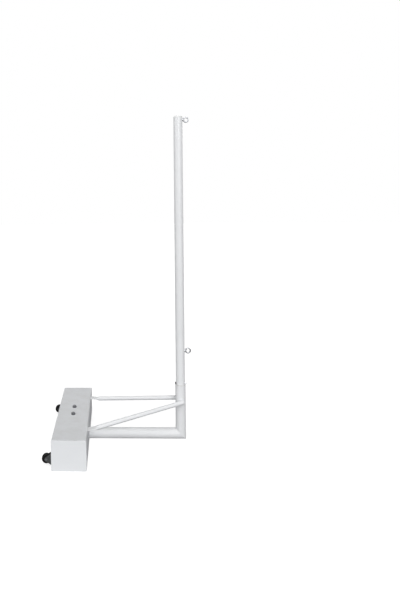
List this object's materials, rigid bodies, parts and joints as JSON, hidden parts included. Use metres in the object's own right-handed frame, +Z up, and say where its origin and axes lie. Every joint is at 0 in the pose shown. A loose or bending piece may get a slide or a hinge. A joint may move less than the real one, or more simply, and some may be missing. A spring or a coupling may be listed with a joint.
{
  "type": "badminton net post",
  "caption": "Freestanding net post: lift-out round mast with net eyes in a braced socket, on a weighted box with transport wheels.",
  "frame": {"origin": "on the floor, at the middle of the post's footprint, which reaches from the outer side of the transport wheels to the outer side of the net eyes; the mast axis stands at X = 0.2915", "axes": "+X from the ballast box towards the mast and the net, +Y along the ballast box towards its rear end, +Z up along the mast"},
  "size_m": [0.687, 0.56, 1.55],
  "materials": {
    "white_paint": "smooth semi-gloss white powder coat",
    "cap_plastic": "moulded white plastic",
    "zinc_plate": "bright zinc plate",
    "dull_zinc": "weathered zinc plate",
    "black_steel": "black oxide steel",
    "bracket_steel": "dark grey phosphated pressed steel",
    "raw_steel": "hot-rolled flat bar",
    "tyre_rubber": "black rubber",
    "hub_plastic": "moulded black plastic"
  },
  "bodies": {
    "base": {"socket_tube": "white_paint", "base_arm": "white_paint", "front_brace": "white_paint", "rear_brace": "white_paint", "ballast_box": "white_paint", "box_front_cover": "white_paint", "box_rear_cover": "white_paint", "ballast_plates": "raw_steel", "ballast_bolts": "dull_zinc", "ballast_washers": "dull_zinc", "ballast_nuts": "dull_zinc", "front_caster_bracket": "bracket_steel", "front_caster_screws": "dull_zinc", "front_axle_sleeve": "zinc_plate", "front_axle_bolt": "dull_zinc", "front_axle_nut": "dull_zinc", "rear_caster_bracket": "bracket_steel", "rear_caster_screws": "dull_zinc", "rear_axle_sleeve": "zinc_plate", "rear_axle_bolt": "dull_zinc", "rear_axle_nut": "dull_zinc"},
    "mast": {"mast_tube": "white_paint", "mast_cap": "cap_plastic", "upper_net_eye": "zinc_plate", "lower_net_eye": "zinc_plate", "upper_eye_insert": "zinc_plate", "lower_eye_insert": "zinc_plate", "stop_bolt": "black_steel", "stop_nut": "zinc_plate"},
    "front_wheel": {"front_wheel_tyre": "tyre_rubber", "front_wheel_hub": "hub_plastic"},
    "rear_wheel": {"rear_wheel_tyre": "tyre_rubber", "rear_wheel_hub": "hub_plastic"}
  },
  "joints": [
    {"name": "mast_lift", "type": "slide", "parent": "base", "child": "mast", "axis": [0, 0, 1], "range_m": [0, 0.2]},
    {"name": "front_wheel_spin", "type": "hinge", "parent": "base", "child": "front_wheel", "pos_m": [-0.3235, -0.238, 0.033], "axis": [0, 1, 0], "continuous": true},
    {"name": "rear_wheel_spin", "type": "hinge", "parent": "base", "child": "rear_wheel", "pos_m": [-0.3235, 0.238, 0.033], "axis": [0, 1, 0], "continuous": true}
  ]
}
